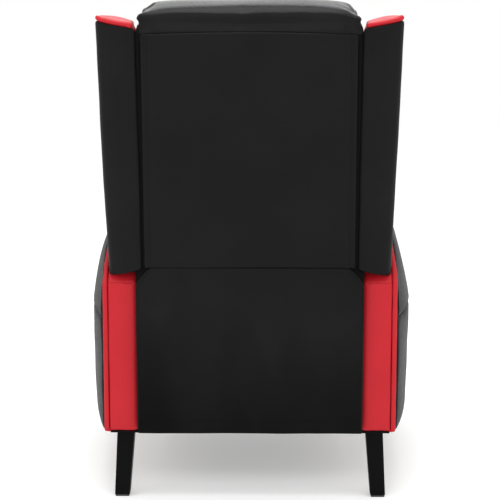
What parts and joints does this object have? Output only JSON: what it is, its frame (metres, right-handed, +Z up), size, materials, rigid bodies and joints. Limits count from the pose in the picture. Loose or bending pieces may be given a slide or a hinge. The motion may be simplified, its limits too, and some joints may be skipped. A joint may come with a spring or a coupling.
{
  "type": "gaming recliner",
  "caption": "Push-back recliner armchair with padded wings, rolled arms, four splayed legs and a folding footrest.",
  "frame": {"origin": "on the floor, under the middle of the chair's footprint", "axes": "+Z up, the chair faces -Y, +X is the sitter's left"},
  "size_m": [0.7132, 0.8269, 1.0327],
  "materials": {
    "black_leather": "black grained PU leather, semi-matte",
    "gloss_leather": "black PU leather, stretched and glossier",
    "red_leather": "red grained PU leather, semi-matte",
    "timber": "plain plywood and softwood",
    "black_steel": "black powder coat",
    "zinc_steel": "zinc plated",
    "spring_steel": "oiled spring wire",
    "webbing": "woven suspension sheet",
    "nylon": "moulded nylon"
  },
  "bodies": {
    "base": {"arm_core_left": "timber", "arm_core_right": "timber", "arm_inner_panel_left": "black_leather", "arm_inner_panel_right": "black_leather", "arm_outer_panel_left": "black_leather", "arm_outer_panel_right": "black_leather", "arm_top_pad_left": "black_leather", "arm_top_pad_right": "black_leather", "arm_front_band_left": "red_leather", "arm_front_band_right": "red_leather", "arm_rear_band_left": "red_leather", "arm_rear_band_right": "red_leather", "leg_front_left": "black_steel", "leg_front_right": "black_steel", "leg_rear_left": "black_steel", "leg_rear_right": "black_steel", "leg_glide_front_left": "nylon", "leg_glide_front_right": "nylon", "leg_glide_rear_left": "nylon", "leg_glide_rear_right": "nylon", "side_rail_left": "timber", "side_rail_right": "timber", "side_plate_left": "zinc_steel", "side_plate_right": "zinc_steel", "rear_rail": "timber", "cross_tube": "black_steel", "seat_frame": "timber", "seat_spring_1": "spring_steel", "seat_spring_2": "spring_steel", "seat_spring_3": "spring_steel", "seat_spring_4": "spring_steel", "seat_cushion": "black_leather", "rear_skirt": "black_leather"},
    "backrest": {"back_upright_left": "timber", "back_upright_right": "timber", "back_top_rail": "timber", "back_bottom_rail": "timber", "back_webbing": "webbing", "lumbar_cushion": "black_leather", "upper_cushion": "black_leather", "head_cushion": "gloss_leather", "back_cover": "black_leather", "wing_left": "red_leather", "wing_right": "red_leather", "wing_cover_left": "black_leather", "wing_cover_right": "black_leather", "hinge_bracket_left": "zinc_steel", "hinge_bracket_right": "zinc_steel"},
    "drive_links": {"drive_link_left": "black_steel", "drive_link_right": "black_steel"},
    "cross_links": {"cross_link_left": "black_steel", "cross_link_right": "black_steel"},
    "front_links": {"front_link_left": "black_steel", "front_link_right": "black_steel"},
    "rear_links": {"rear_link_left": "black_steel", "rear_link_right": "black_steel"},
    "footrest": {"footrest_bracket_left": "black_steel", "footrest_bracket_right": "black_steel", "footrest_board": "timber", "footrest_cushion": "black_leather"}
  },
  "joints": [
    {"name": "back_recline", "type": "hinge", "parent": "base", "child": "backrest", "pos_m": [0, 0.185, 0.4], "axis": [-1, 0, 0], "range_deg": [0, 45], "deforming": ["rear_skirt"]},
    {"name": "footrest_open", "type": "hinge", "parent": "base", "child": "drive_links", "pos_m": [0, -0.2805, 0.3242], "axis": [-1, 0, 0], "range_deg": [0, 118.99]},
    {"name": "cross_link_turn", "type": "hinge", "parent": "drive_links", "child": "cross_links", "pos_m": [0, -0.1945, 0.2354], "axis": [1, 0, 0], "range_deg": [0, 114.99]},
    {"name": "front_link_turn", "type": "hinge", "parent": "drive_links", "child": "front_links", "pos_m": [0, -0.1404, 0.1794], "axis": [1, 0, 0], "range_deg": [0, 95.24]},
    {"name": "rear_link_turn", "type": "hinge", "parent": "base", "child": "rear_links", "pos_m": [0, -0.1225, 0.2527], "axis": [-1, 0, 0], "range_deg": [0, 116.49]},
    {"name": "footrest_turn", "type": "hinge", "parent": "cross_links", "child": "footrest", "pos_m": [0, -0.3553, 0.3049], "axis": [-1, 0, 0], "range_deg": [0, 86]}
  ],
  "couplings": [
    {"joint": "cross_link_turn", "follows": "footrest_open", "ratio": 0.96632},
    {"joint": "front_link_turn", "follows": "footrest_open", "ratio": 0.80027},
    {"joint": "rear_link_turn", "follows": "footrest_open", "ratio": 0.97891},
    {"joint": "footrest_turn", "follows": "footrest_open", "ratio": 0.7227}
  ]
}
